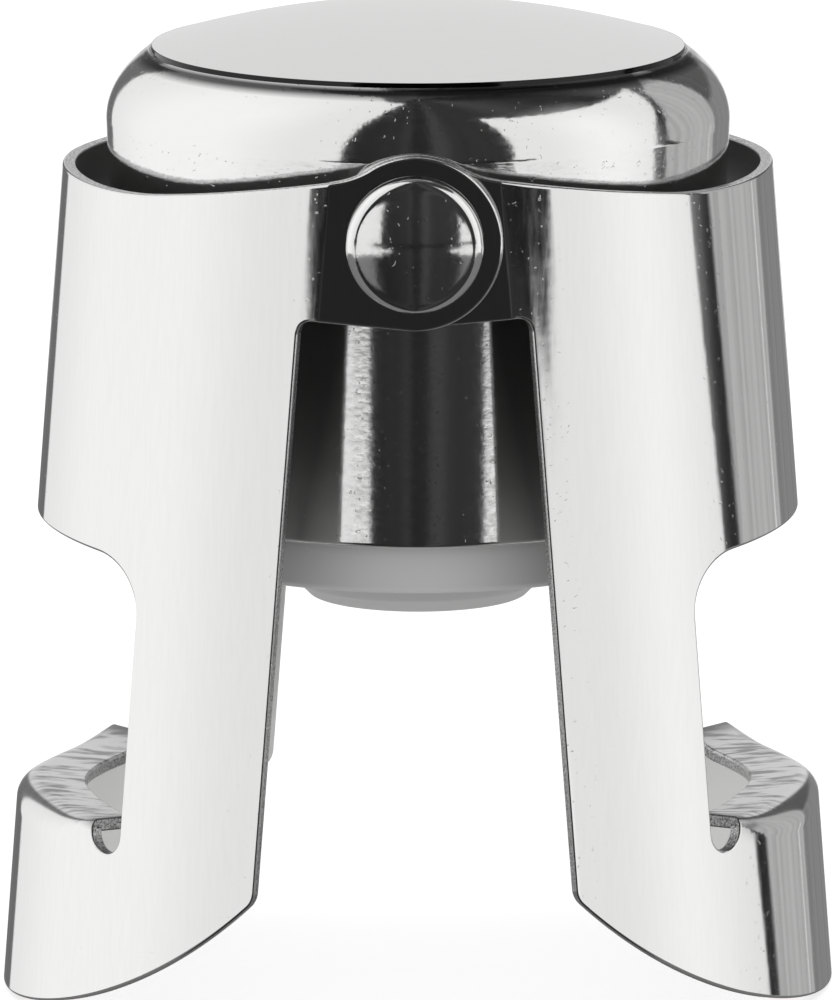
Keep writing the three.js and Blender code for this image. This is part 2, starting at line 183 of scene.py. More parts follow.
# Segments round the revolved pieces
SHELL_SEGMENTS = 256
SEAL_SEGMENTS = 192
RIVET_SEGMENTS = 128

# Marks in steel: grain marks in a metre along X, Y and Z, waves in a metre, and depths in micrometres
Marks = namedtuple("Marks", "grain grain_depth wave_scale wave_depth pit_depth")
WING_MARKS = Marks((4200.0, 4200.0, 420.0), 0.5, 500.0, 1.8, 1.0)
BRUSHED_MARKS = Marks((420.0, 1500.0, 1000.0), 3.0, 700.0, 6.0, 2.0)
CUT_MARKS = Marks((9000.0, 9000.0, 9000.0), 4.0, 4000.0, 3.0, 4.0)
CAP_MARKS = Marks((1300.0, 1300.0, 5200.0), 2.2, 1400.0, 5.0, 4.0)
SLEEVE_MARKS = Marks((2600.0, 2600.0, 4600.0), 2.4, 1500.0, 2.5, 3.0)
RIVET_MARKS = Marks((4000.0, 4000.0, 4000.0), 1.5, 1500.0, 6.0, 5.0)
SPRING_MARKS = Marks((3000.0, 3000.0, 3000.0), 1.0, 900.0, 2.0, 2.0)
TURNED_MARKS = Marks((900.0, 900.0, 6000.0), 1.0, 900.0, 2.0, 2.0)
PIT_SCALE = 3300.0
PIT_RANGE = (0.7, 0.74)
GRAIN_RANGE = (0.3, 0.7)

# Steel of the wings: greys, metallic shine and roughness of its zones, and where they set in
WING_WORN = 0.94
INSIDE_COLOUR = (0.92, 0.92, 0.91, 1)
# Painted shade on the inner face: it darkens to this grey and turns fully metallic towards the collar
INSIDE_SHADE_GREY = 0.3
INSIDE_METALLIC = (0.4, 1.0)
STREAK_GREYS = (0.2, 0.74)
STREAK_RANGE = (0.38, 0.53)
# Grey of the painted shade at the hook plate's tips
TIP_SHADE_GREY = 0.1
SPECK_GREYS = (0.16, 0.75)
SPECK_RANGE = (0.35, 0.6)
PLATE_RANGE = (0.55, 1.0)
FACE_ROUGHNESS = (0.035, 0.065)
INSIDE_ROUGHNESS = 0.42
HOOK_ROUGHNESS = 0.26
CUT_ROUGHNESS = 0.35

# The other steels, and the moulded pieces: how their colour and roughness spread, and their grain
STEEL_WORN = 0.86
# Grey of the painted shade in the cap's crease
PAINTED_SHADE_GREY = 0.03
STEEL_SPREAD = (0.75, 1.3)
MOULD_SPREAD = (0.85, 1.15)
MOULD_GRAIN = 0.002 * MM
MOULD_SCALE = 900.0

# The camera that the photograph's outlines fit
CAMERA_DISTANCE = 550 * MM
CAMERA_AZIMUTH = math.radians(0.5)
CAMERA_ELEVATION = math.radians(10.9)
CAMERA_TARGET = Vector((0.05 * MM, 0, PIVOT.z - 17.2 * MM))
PHOTO_HEIGHT_PX = 1000
FOCAL_PX = 10135
SENSOR = 36


class WingSettings(bpy.types.PropertyGroup):
    """Sizes and colour of the two pressed wings"""

    radius: bpy.props.FloatProperty(
        name="Collar radius",
        description="Outer radius of the half collar",
        default=COLLAR_RADIUS,
        unit="LENGTH",
    )
    sheet: bpy.props.FloatProperty(
        name="Sheet", description="Thickness of the steel sheet", default=0.7 * MM, unit="LENGTH"
    )
    outer_edge: bpy.props.FloatProperty(
        name="Outer edge",
        description="Rounding of the edge on the outer face",
        default=0.16 * MM,
        unit="LENGTH",
    )
    inner_edge: bpy.props.FloatProperty(
        name="Inner edge",
        description="Rounding of the edge on the inner face",
        default=0.1 * MM,
        unit="LENGTH",
    )
    opened: bpy.props.FloatProperty(
        name="Opened",
        description="Angle of each wing from upright",
        default=math.radians(4.45),
        subtype="ANGLE",
    )
    colour: bpy.props.FloatVectorProperty(
        name="Steel",
        description="Colour of the polished steel",
        default=(0.9, 0.9, 0.895),
        subtype="COLOR",
    )


class CapSettings(bpy.types.PropertyGroup):
    """Sizes of the cap and the body sleeve"""

    radius: bpy.props.FloatProperty(
        name="Cap radius", description="Outer radius of the cap", default=16.8 * MM, unit="LENGTH"
    )
    crease: bpy.props.FloatProperty(
        name="Crease radius",
        description="Radius of the crease round the top",
        default=14.5 * MM,
        unit="LENGTH",
    )
    dome: bpy.props.FloatProperty(
        name="Dome",
        description="Rise of the top above the dome's edge",
        default=2.15 * MM,
        unit="LENGTH",
    )
    sleeve: bpy.props.FloatProperty(
        name="Sleeve radius",
        description="Outer radius of the body sleeve",
        default=14.4 * MM,
        unit="LENGTH",
    )
    sleeve_bottom: bpy.props.FloatProperty(
        name="Sleeve bottom",
        description="Height of the sleeve's lower edge",
        default=-17.1 * MM,
        unit="LENGTH",
    )


class SealSettings(bpy.types.PropertyGroup):
    """Sizes and colour of the rubber seal"""

    radius: bpy.props.FloatProperty(
        name="Seal radius", description="Radius of the seal's disc", default=13.5 * MM, unit="LENGTH"
    )
    boss: bpy.props.FloatProperty(
        name="Boss radius", description="Radius of the boss at its root", default=6.9 * MM, unit="LENGTH"
    )
    colour: bpy.props.FloatVectorProperty(
        name="Rubber", description="Colour of the seal", default=(0.5, 0.505, 0.5), subtype="COLOR"
    )


class StudioSettings(bpy.types.PropertyGroup):
    """Levels of the light tent"""

    panel: bpy.props.FloatProperty(
        name="Panels", description="Level of the white side panels", default=1.0, min=0, max=2
    )
    soft_light: bpy.props.FloatProperty(
        name="Soft light",
        description="Level of the even light on rubber, plastic and floor",
        default=0.9,
        min=0,
        max=1,
    )
    floor: bpy.props.FloatProperty(
        name="Floor size", description="Width of the floor", default=2.0, unit="LENGTH"
    )


def settings():
    """Settings of the wings, the cap and the seal."""
    return bpy.context.scene.stopper_wing, bpy.context.scene.stopper_cap, bpy.context.scene.stopper_seal


# Points of outlines and sections
def share_between(value, start, end):
    """How far the value has come on the way from start to end, from 0 to 1."""
    return min(1, max(0, (value - start) / (end - start)))


def arc(centre, radii, start, end, steps):
    """Points of a circular or elliptical arc between two angles in degrees, ends included."""
    points = []
    for i in range(steps + 1):
        angle = math.radians(start + (end - start) * i / steps)
        x = centre[0] + radii[0] * math.cos(angle)
        points.append(Vector((x, centre[1] + radii[1] * math.sin(angle))))
    return points


def swept(a, corner, b, steps):
    """Points of a quadratic curve from a to b that leans towards corner."""
    a, corner, b = Vector(a), Vector(corner), Vector(b)
    points = []
    for i in range(steps + 1):
        t = i / steps
        points.append(a * (1 - t) ** 2 + corner * (2 * t * (1 - t)) + b * t**2)
    return points


def straight(a, b, steps):
    """Points of a straight line from a to b, without its ends."""
    a, b = Vector(a), Vector(b)
    return [a.lerp(b, i / steps) for i in range(1, steps)]


def filleted(corners, steps=5):
    """Section through corners (reach, height, radius), each rounded by its radius."""
    points = []
    for i, (x, z, radius) in enumerate(corners):
        here = Vector((x, z))
        if radius == 0 or i in (0, len(corners) - 1):
            points.append(here)
            continue
        before = (Vector(corners[i - 1][:2]) - here).normalized()
        after = (Vector(corners[i + 1][:2]) - here).normalized()
        half = before.angle(after) / 2
        reach = radius / math.tan(half)
        centre = here + (before + after).normalized() * (radius / math.sin(half))
        start = here + before * reach - centre
        turn = -(math.pi - 2 * half) if before.cross(after) > 0 else math.pi - 2 * half
        for k in range(steps + 1):
            spin = Matrix.Rotation(turn * k / steps, 2)
            points.append(centre + spin @ start)
    return points


# Meshes
def make_piece(name, vertices, faces, normals, place, material, zones):
    """A smooth mesh in the part's frame, shaded with the normals and zones given for its vertices."""
    mesh = bpy.data.meshes.new(name)
    mesh.from_pydata([place @ v for v in vertices], [], faces)
    mesh.shade_smooth()
    turn = place.to_3x3()
    mesh.normals_split_custom_set_from_vertices([(turn @ n).normalized() for n in normals])
    mesh.materials.append(material)
    layer = mesh.attributes.new("zones", "FLOAT_COLOR", "POINT")
    layer.data.foreach_set("color", [part for zone in zones for part in zone])
    piece = bpy.data.objects.new(name, mesh)
    bpy.context.scene.collection.objects.link(piece)
    return piece


def section_normals(section):
    """Normals of a section walked with the material on its left, led by the longer neighbour."""
    normals = []
    for i, here in enumerate(section):
        total = Vector((0, 0))
        for a, b in ((i - 1, i), (i, i + 1)):
            if a < 0 or b >= len(section):
                continue
            step = section[b] - section[a]
            total += Vector((step.y, -step.x)) * step.length
        normals.append(total.normalized())
    return normals


def revolve(name, section, segments, place, material, painted_shading=None):
    """The section (radius, height), walked with the material on its left, turned round the Z axis."""
    vertices, faces, normals, rings, zones = [], [], [], [], []
    # Darkness of painted shade at each section point, kept in the red of the zones
    painted_shading = painted_shading or [0] * len(section)
    for point, normal, shade_darkness in zip(section, section_normals(section), painted_shading):
        on_axis = point.x < WELD
        ring = []
        for k in range(1 if on_axis else segments):
            angle = 2 * math.pi * k / segments
            c, s = math.cos(angle), math.sin(angle)
            ring.append(len(vertices))
            vertices.append(Vector((point.x * c, point.x * s, point.y)))
            level = Vector((0, 0, math.copysign(1, normal.y)))
            normals.append(level if on_axis else Vector((normal.x * c, normal.x * s, normal.y)))
            zones.append((shade_darkness, 0, 0, 1))
        rings.append(ring)
    closed = (section[0] - section[-1]).length < WELD
    if closed:
        rings[-1] = rings[0]
    for low, high in zip(rings, rings[1:]):
        for k in range(segments):
            n = (k + 1) % segments
            if len(low) == 1:
                faces.append((low[0], high[n], high[k]))
            elif len(high) == 1:
                faces.append((low[k], low[n], high[0]))
            else:
                faces.append((low[k], low[n], high[n], high[k]))
    if closed:
        spare = len(vertices) - segments
        vertices, normals, zones = vertices[:spare], normals[:spare], zones[:spare]
    return make_piece(name, vertices, faces, normals, place, material, zones)


# The wing's flat pattern: distance along the sheet from the wing's middle, and height
def arc_end(wing):
    """Distance along the sheet at which the collar's arc ends and the flat pad of the ear starts."""
    return wing.radius * math.asin(PAD_FACE / wing.radius)


def along(wing, reach):
    """Distance along the sheet from the wing's middle to the place at that reach."""
    if reach < PAD_REACH:
        return arc_end(wing) + PAD_REACH - reach
    return wing.radius * math.acos(min(1, reach / wing.radius))


def foot_centre(wing):
    """Centre of the foot's lower edge, an arc through the leg's tip and the foot's lowest point."""
    tip, low = Vector((LEG_INNER, TIP_HEIGHT)), Vector((wing.radius, FOOT_HEIGHT))
    chord = low - tip
    height = math.sqrt(FOOT_ARC**2 - chord.length_squared / 4)
    return (tip + low) / 2 + Vector((-chord.y, chord.x)).normalized() * height


def outer_edge(wing):
    """Half of the wing's outer edge: rim, ear, strap, leg and foot."""
    edge = []
    rim_end = along(wing, RIM_BEND.x)
    for i in range(RIM_STEPS + 1):
        distance = rim_end * i / RIM_STEPS
        reach = wing.radius * math.cos(distance / wing.radius)
        share = (wing.radius - reach) / (wing.radius - RIM_BEND.x)
        edge.append(Vector((reach, RIM_HEIGHT + (RIM_BEND.y - RIM_HEIGHT) * share**2)))
    slope = (RIM_BEND.y - RIM_AT_EAR.y) / (RIM_BEND.x - RIM_AT_EAR.x)
    base = RIM_AT_EAR.y - slope * RIM_AT_EAR.x
    root = math.sqrt((slope * base) ** 2 - (1 + slope**2) * (base**2 - EAR_RADIUS**2))
    meet = (root - slope * base) / (1 + slope**2)
    corner = Vector((meet, base + slope * meet))
    rim_stop = corner + Vector((RIM_BLEND, slope * RIM_BLEND))
    ear_start = math.degrees(math.atan2(corner.y, corner.x) + RIM_BLEND / EAR_RADIUS)
    ear = arc((0, 0), (EAR_RADIUS, EAR_RADIUS), ear_start, 270, EAR_STEPS)
    edge += straight(RIM_BEND, rim_stop, LINE_STEPS)
    edge += swept(rim_stop, corner, ear[0], CORNER_STEPS)[:-1]
    edge += ear
    strap_stop = Vector((LEG_INNER - STRAP_CORNER, STRAP_HEIGHT))
    edge += straight(ear[-1], strap_stop, LINE_STEPS // 2)
    leg_corner = (LEG_INNER, STRAP_HEIGHT)
    leg_top = (LEG_INNER, STRAP_HEIGHT - STRAP_CORNER)
    edge += swept(strap_stop, leg_corner, leg_top, CORNER_STEPS)
    centre = foot_centre(wing)
    start = math.atan2(TIP_HEIGHT - centre.y, LEG_INNER - centre.x) + TIP_CORNER / FOOT_ARC
    foot_start = centre + FOOT_ARC * Vector((math.cos(start), math.sin(start)))
    leg_bottom = (LEG_INNER, TIP_HEIGHT + TIP_CORNER)
    edge += swept(leg_bottom, (LEG_INNER, TIP_HEIGHT), foot_start, CORNER_STEPS)
    far = along(wing, foot_start.x)
    for i in range(1, FOOT_STEPS + 1):
        reach = wing.radius * math.cos(far * (1 - i / FOOT_STEPS) / wing.radius)
        edge.append(Vector((reach, centre.y - math.sqrt(FOOT_ARC**2 - (reach - centre.x) ** 2))))
    return [Vector((along(wing, p.x), p.y)) for p in edge]


def fold_lengths():
    """Where the fold starts in the middle of the hook, and how long it is."""
    return HOOK_HEIGHT - FOLD_RADIUS, FOLD_RADIUS * math.pi / 2


def window_edge(wing):
    """Half of the window's edge: the hook's inner edge, its end, the notch, the leg and the collar."""
    fold_start, fold_length = fold_lengths()
    level = wing.radius - FOLD_RADIUS - HOOK_OPENING
    top = fold_start + fold_length + level
    side = wing.radius * HOOK_ANGLE
    leg = along(wing, LEG_OUTER)
    notch = (leg - side) / 2
    edge = [Vector((0, top))]
    edge += straight((0, top), (side - TONGUE_CORNER, top), RIM_STEPS)
    centre = (side - TONGUE_CORNER, top - TONGUE_CORNER)
    edge += arc(centre, (TONGUE_CORNER, TONGUE_CORNER), 90, 0, 6)
    edge += arc((side + notch, HOOK_HEIGHT), (notch, notch), 180, 360, 20)
    centre = (LEG_OUTER + WINDOW_CORNER.x, COLLAR_HEIGHT - WINDOW_CORNER.y)
    corner = arc(centre, WINDOW_CORNER, 180, 90, 14)
    edge += [Vector((along(wing, p.x), p.y)) for p in corner]
    stop = edge[-1].x
    edge += straight((stop, COLLAR_HEIGHT), (0, COLLAR_HEIGHT), LINE_STEPS)
    edge.append(Vector((0, COLLAR_HEIGHT)))
    return edge


def edge_profile(wing):
    """How a sheet's edge is rounded, as pairs of inset and depth from the outer face to the inner."""
    profile = []
    for k in range(EDGE_STEPS + 1):
        angle = math.radians(90 * k / EDGE_STEPS)
        depth = wing.outer_edge * (1 - math.cos(angle))
        profile.append((wing.outer_edge * (1 - math.sin(angle)), depth))
    for k in range(EDGE_STEPS + 1):
        angle = math.radians(90 + 90 * k / EDGE_STEPS)
        depth = wing.sheet - wing.inner_edge * (1 + math.cos(angle))
        profile.append((wing.inner_edge * (1 - math.sin(angle)), depth))
    return profile


def flat_half(wing):
    """Half of the wing's flat pattern as a solid: X along the sheet, Y up and Z the depth into it."""
    bm = bmesh.new()
    outward = bm.verts.layers.float_vector.new("outward")
    # The first and the last ring of each edge bound the outer face and the inner face
    caps = {0: [], -1: []}
    for edge in (outer_edge(wing), window_edge(wing)):
        count = len(edge)
        inward = []
        for i in range(count):
            step = edge[min(i + 1, count - 1)] - edge[max(i - 1, 0)]
            normal = Vector((step.y, -step.x))
            if i in (0, count - 1):
                normal.x = 0
            inward.append(normal.normalized())
        rings = []
        for inset, depth in edge_profile(wing):
            ring = []
            for point, normal in zip(edge, inward):
                at = point + normal * inset
                vertex = bm.verts.new((at.x, at.y, depth))
                vertex[outward] = (-normal.x, -normal.y, 0)
                ring.append(vertex)
            rings.append(ring)
        for near, far in zip(rings, rings[1:]):
            for i in range(count - 1):
                bm.faces.new((near[i], far[i], far[i + 1], near[i + 1]))
        for end in caps:
            caps[end] += rings[end]
    bm.faces.new(caps[0])
    bm.faces.new(list(reversed(caps[-1])))
    bm.normal_update()
    bmesh.ops.triangulate(bm, faces=[f for f in bm.faces if len(f.verts) > 4])
    return bm


def cut(bm, point, normal):
    """Splits the mesh along a plane and keeps both sides."""
    geometry = bm.verts[:] + bm.edges[:] + bm.faces[:]
    bmesh.ops.bisect_plane(bm, geom=geometry, dist=ON_PLANE, plane_co=point, plane_no=normal)


def sheet_place(wing, distance, height, depth):
    """Where a place of the flat pattern comes to lie on the right wing once it is bent.

    Gives the point, the directions along the sheet and up the sheet, and the outer normal. Between the
    hook's end and the leg's outer edge the fold fades into the plain wall. Towards the hook's ends the
    fold is tighter and stands higher, which makes the horns.
    """
    side = -1 if distance >= 0 else 1
    span = abs(distance)
    up = Vector((0, 0, 1))
    if span > arc_end(wing):
        reach = PAD_REACH - (span - arc_end(wing))
        out = Vector((0, side, 0))
        return Vector((reach, side * (PAD_FACE - depth), height)), Vector((-1, 0, 0)), up, out
    angle = span / wing.radius
    radial = Vector((math.cos(angle), side * math.sin(angle), 0))
    tangent = Vector((-math.sin(angle), side * math.cos(angle), 0))
    fold_start, fold_length = fold_lengths()
    rise = height - fold_start
    end_angle = along(wing, LEG_OUTER) / wing.radius
    share = share_between(angle, end_angle, HOOK_ANGLE)
    share = share * share * (3 - 2 * share)
    if rise <= -FLANK_EXTRA or share == 0 or height > HOOK_HEIGHT + HOOK_REACH:
        return radial * (wing.radius - depth) + up * height, tangent, up, radial
    near_end = share_between(angle, HORN_START, HOOK_ANGLE) ** 2
    flank = math.sin(math.pi * min(1, angle / HOOK_ANGLE)) ** 2
    radius = FOLD_RADIUS + (HORN_RADIUS - FOLD_RADIUS) * near_end + FLANK_EXTRA * flank
    start = HOOK_HEIGHT + HORN_RISE * near_end - radius
    turned = max(0, height - start)
    bent = min(turned / radius, math.pi / 2)
    out = radial * math.cos(bent) + up * math.sin(bent)
    lift = up * math.cos(bent) - radial * math.sin(bent)
    level = max(0, turned - radius * math.pi / 2)
    foot = min(height, start)
    fold = radial * (wing.radius - radius - level) + up * foot + out * (radius - depth)
    plain = radial * (wing.radius - depth) + up * height
    if share < 1 and rise > FOLD_RADIUS:
        return plain, tangent, up, radial
    return plain.lerp(fold, share), tangent, lift, out


def build_wing(name, wing, place, material):
    """One pressing: the flat pattern is cut into narrow strips and bent round the collar.

    Its zones are the cut edges (red), the inner face (green), the hook plate (blue) and a painted shade
    (alpha) that rises up the inner face and, on the hook plate, towards its tips, where it darkens the
    colour.
    """
    bm = flat_half(wing)
    strip = wing.radius * STRIP_ANGLE
    for k in range(1, int(arc_end(wing) / strip) + 1):
        cut(bm, (k * strip, 0, 0), (1, 0, 0))
    cut(bm, (arc_end(wing), 0, 0), (1, 0, 0))
    fold_start, fold_length = fold_lengths()
    low = fold_start - FLANK_EXTRA
    span = FLANK_EXTRA + fold_length + ROWS_PAST_FOLD
    for k in range(FOLD_ROWS + 1):
        cut(bm, (0, low + span * k / FOLD_ROWS, 0), (0, 1, 0))
    outward = bm.verts.layers.float_vector["outward"]
    copy = bmesh.ops.duplicate(bm, geom=bm.verts[:] + bm.edges[:] + bm.faces[:])["geom"]
    twins = [g for g in copy if isinstance(g, bmesh.types.BMVert)]
    for vertex in twins:
        vertex.co.x *= -1
        vertex[outward].x *= -1
    bmesh.ops.reverse_faces(bm, faces=[g for g in copy if isinstance(g, bmesh.types.BMFace)])
    middle = [v for v in bm.verts if abs(v.co.x) < ON_PLANE]
    bmesh.ops.remove_doubles(bm, verts=middle, dist=WELD)
    bm.verts.index_update()
    hook_end = wing.radius * HOOK_ANGLE
    vertices, normals, zones = [], [], []
    for vertex in bm.verts:
        distance, height, depth = vertex.co
        point, tangent, lift, out = sheet_place(wing, distance, height, depth)
        if distance < 0:
            tangent = -tangent
        rounding = 0
        if depth < wing.outer_edge:
            rounding = 1 - depth / wing.outer_edge
        elif depth > wing.sheet - wing.inner_edge:
            rounding = (wing.sheet - depth) / wing.inner_edge - 1
        rounding = min(1, max(-1, rounding))
        flat = vertex[outward]
        beside = tangent * flat.x + lift * flat.y
        vertices.append(point)
        normals.append(beside * math.sqrt(1 - rounding**2) + out * rounding)
        on_hook = abs(distance) < hook_end + TONGUE_CORNER and height < HOOK_HEIGHT + HOOK_REACH
        hook = share_between(height, fold_start, fold_start + fold_length) if on_hook else 0
        # Painted shade: darker up the inner face towards the collar, and on the hook plate towards its
        # tips
        shade = share_between(height, HOOK_HEIGHT, COLLAR_HEIGHT)
        if hook > 0:
            shade = share_between(abs(distance) / hook_end, TIP_START_SHARE, TIP_END_SHARE)
        zones.append((1 - abs(rounding), max(0, -rounding), hook, shade))
    faces = [[v.index for v in f.verts] for f in bm.faces]
    bm.free()
    return make_piece(name, vertices, faces, normals, place, material, zones)


# Shared effects
def new_group(name, inputs, outputs):
    """A node group with named inputs and outputs, and its input and output nodes."""
    group = bpy.data.node_groups.new(name, "ShaderNodeTree")
    for label, kind, default in inputs:
        socket = group.interface.new_socket(label, in_out="INPUT", socket_type=kind)
        if default is not None:
            socket.default_value = default
    for label, kind in outputs:
        group.interface.new_socket(label, in_out="OUTPUT", socket_type=kind)
    return group, group.nodes.new("NodeGroupInput"), group.nodes.new("NodeGroupOutput")


def node(tree, kind, inputs=None, **values):
    """A node with its values set, and its inputs given as numbers or as sockets to link."""
    made = tree.nodes.new(kind)
    for key, value in values.items():
        setattr(made, key, value)
    for key, value in (inputs or {}).items():
        if isinstance(value, bpy.types.NodeSocket):
            tree.links.new(value, made.inputs[key])
        else:
            made.inputs[key].default_value = value
    return made


def math_node(tree, operation, a, b=0.0, clamp=False):
    """The result of a sum on numbers or sockets."""
    return node(tree, "ShaderNodeMath", {0: a, 1: b}, operation=operation, use_clamp=clamp).outputs[0]


def grey(level):
    """A grey of this level, as a colour."""
    return (level, level, level, 1)


def mix_colour(tree, factor, a, b):
    """Colour a where factor is 0 and colour b where it is 1."""
    made = tree.nodes.new("ShaderNodeMix")
    made.data_type = "RGBA"
    for socket, value in ((made.inputs[0], factor), (made.inputs[6], a), (made.inputs[7], b)):
        if isinstance(value, bpy.types.NodeSocket):
            tree.links.new(value, socket)
        else:
            socket.default_value = value
    return made.outputs[2]


def blend(tree, mask, a, b, mask_range=(0.0, 1.0)):
    """Value a where the mask is at the low end of its range and value b where it is at the high end."""
    low, high = mask_range
    inputs = {"Value": mask, "From Min": low, "From Max": high, "To Min": a, "To Max": b}
    return node(tree, "ShaderNodeMapRange", inputs).outputs[0]


def noise(tree, place, scale, detail):
    """Noise at a place, from 0 to 1."""
    inputs = {"Vector": place, "Scale": scale, "Detail": detail}
    return node(tree, "ShaderNodeTexNoise", inputs).outputs[0]


def drawn_marks():
    """Marks of drawing and polishing, in micrometres: fine grain, soft waves and small pits."""
    floats = "NodeSocketFloat"
    group, given, made = new_group(
        "Drawn marks",
        [
            ("Vector", "NodeSocketVector", None),
            ("Grain", "NodeSocketVector", None),
            ("Grain depth", floats, 0.5),
            ("Wave scale", floats, 600.0),
            ("Wave depth", floats, 3.0),
            ("Pit depth", floats, 2.0),
        ],
        [("Height", floats), ("Rough", floats)],
    )
    place = given.outputs["Vector"]
    factors = {0: place, 1: given.outputs["Grain"]}
    stretched = node(group, "ShaderNodeVectorMath", factors, operation="MULTIPLY").outputs[0]
    fine = noise(group, stretched, 1.0, 3.0)
    wave = noise(group, place, given.outputs["Wave scale"], 2.0)
    pits = blend(group, noise(group, place, PIT_SCALE, 1.0), 0.0, 1.0, PIT_RANGE)
    grain = math_node(group, "MULTIPLY", fine, given.outputs["Grain depth"])
    waves = math_node(group, "MULTIPLY", wave, given.outputs["Wave depth"])
    sunk = math_node(group, "MULTIPLY", pits, given.outputs["Pit depth"])
    height = math_node(group, "SUBTRACT", math_node(group, "ADD", grain, waves), sunk)
    group.links.new(height, made.inputs["Height"])
    group.links.new(fine, made.inputs["Rough"])
    return group


def marks_node(tree, marks):
    """The height and roughness that these marks give the surface."""
    group = bpy.data.node_groups.get("Drawn marks") or drawn_marks()
    place = node(tree, "ShaderNodeTexCoord").outputs["Object"]
    values = {
        "Vector": place,
        "Grain": marks.grain,
        "Grain depth": marks.grain_depth,
        "Wave scale": marks.wave_scale,
        "Wave depth": marks.wave_depth,
        "Pit depth": marks.pit_depth,
    }
    return node(tree, "ShaderNodeGroup", values, node_tree=group).outputs


def material_with(name):
    """An empty material and its Principled BSDF."""
    material = bpy.data.materials.new(name)
    material.use_nodes = True
    return material, material.node_tree, material.node_tree.nodes["Principled BSDF"]


def bump(tree, shader, height, distance):
    """Raises the shader's surface by the height times the distance."""
    raised = node(tree, "ShaderNodeBump", {"Height": height, "Distance": distance, "Strength": 1.0})
    tree.links.new(raised.outputs[0], shader.inputs["Normal"])


def steel(name, colour, roughness, marks):
    """Polished steel with drawn marks, and painted shade where the piece's zones are red."""
    material, tree, shader = material_with(name)
    made = marks_node(tree, marks)
    bump(tree, shader, made["Height"], MICRON)
    low, high = STEEL_SPREAD
    spread = blend(tree, made["Rough"], roughness * low, roughness * high, GRAIN_RANGE)
    tree.links.new(spread, shader.inputs["Roughness"])
    worn = tuple(part * STEEL_WORN for part in colour)
    bright = mix_colour(tree, spread, (*colour, 1), (*worn, 1))
    zones = node(tree, "ShaderNodeAttribute", attribute_name="zones")
    # The red of the zones darkens the colour as painted shade
    shade_darkness = node(tree, "ShaderNodeSeparateColor", {0: zones.outputs["Color"]}).outputs[0]
    tree.links.new(mix_colour(tree, shade_darkness, bright, grey(PAINTED_SHADE_GREY)), shader.inputs["Base Color"])
    shader.inputs["Metallic"].default_value = 1
    return material


def wing_steel(wing):
    """Steel of the wings: bright outer face, duller inner face and hook with painted shade, speckled cut
    edges.
    """
    material, tree, shader = material_with("wing_steel")
    zones = node(tree, "ShaderNodeAttribute", attribute_name="zones")
    shade = zones.outputs["Alpha"]
    cut_edge, inside, hook = node(tree, "ShaderNodeSeparateColor", {0: zones.outputs["Color"]}).outputs
    drawn = marks_node(tree, WING_MARKS)
    brushed = marks_node(tree, BRUSHED_MARKS)
    rough_cut = marks_node(tree, CUT_MARKS)
    plate = blend(tree, hook, 0.0, 1.0, PLATE_RANGE)
    height = blend(tree, plate, drawn["Height"], brushed["Height"])
    bump(tree, shader, blend(tree, cut_edge, height, rough_cut["Height"]), MICRON)
    worn = tuple(part * WING_WORN for part in wing.colour)
    bright = mix_colour(tree, drawn["Rough"], (*worn, 1), (*wing.colour, 1))
    # Painted shade on the inner face, from pale at the hook to dark grey at the collar
    inner = mix_colour(tree, shade, INSIDE_COLOUR, grey(INSIDE_SHADE_GREY))
    streaks = blend(tree, brushed["Rough"], 0.0, 1.0, STREAK_RANGE)
    streaked = mix_colour(tree, streaks, *map(grey, STREAK_GREYS))
    # Painted shade darkens the hook plate towards its tips
    streaked = mix_colour(tree, shade, streaked, grey(TIP_SHADE_GREY))
    specks = blend(tree, rough_cut["Rough"], 0.0, 1.0, SPECK_RANGE)
    speckled = mix_colour(tree, specks, *map(grey, SPECK_GREYS))
    colour = mix_colour(tree, inside, bright, inner)
    colour = mix_colour(tree, plate, colour, streaked)
    colour = mix_colour(tree, cut_edge, colour, speckled)
    tree.links.new(colour, shader.inputs["Base Color"])
    roughness = blend(tree, drawn["Rough"], *FACE_ROUGHNESS, GRAIN_RANGE)
    roughness = blend(tree, inside, roughness, INSIDE_ROUGHNESS)
    roughness = blend(tree, hook, roughness, HOOK_ROUGHNESS)
    roughness = blend(tree, cut_edge, roughness, CUT_ROUGHNESS)
    tree.links.new(roughness, shader.inputs["Roughness"])
    # The inner face is less metallic low down and fully metallic where its painted shade is dark
    metallic = blend(tree, inside, 1.0, blend(tree, shade, *INSIDE_METALLIC))
    tree.links.new(metallic, shader.inputs["Metallic"])
    return material


def moulded(name, colour, roughness):
    """Moulded plastic or rubber with a faint grain."""
    material, tree, shader = material_with(name)
    place = node(tree, "ShaderNodeTexCoord").outputs["Object"]
    grain = noise(tree, place, MOULD_SCALE, 3.0)
    bump(tree, shader, grain, MOULD_GRAIN)
    low, high = MOULD_SPREAD
    spread = blend(tree, grain, roughness * low, roughness * high)
    tree.links.new(spread, shader.inputs["Roughness"])
    shader.inputs["Base Color"].default_value = (*colour, 1)
    return material


def set_down(piece, body, slot, *nodes):
    """The piece rides on the body and stands for the nodes."""
    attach(piece, body)
    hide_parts(*nodes)


class STOPPER_OT_wings(bpy.types.Operator):
    """Presses the left and right wings"""

    bl_idname = "stopper.wings"
    bl_label = "Wings"

    def execute(self, context):
        wing = settings()[0]
        finish = wing_steel(wing)
        for side, turn, lean in (("left", math.pi, 1), ("right", 0, -1)):
            hinged = Matrix.Translation(PIVOT) @ Matrix.Rotation(lean * wing.opened, 4, "Y")
            beside = Matrix.Translation((0, -lean * WING_SHIFT, 0))
            place = hinged @ beside @ Matrix.Rotation(turn, 4, "Z")
            piece = build_wing(f"{side}_wing_pressing", wing, place, finish)
            set_down(piece, f"{side}_wing", "polished_steel", f"{side}_wing")
        return {"FINISHED"}


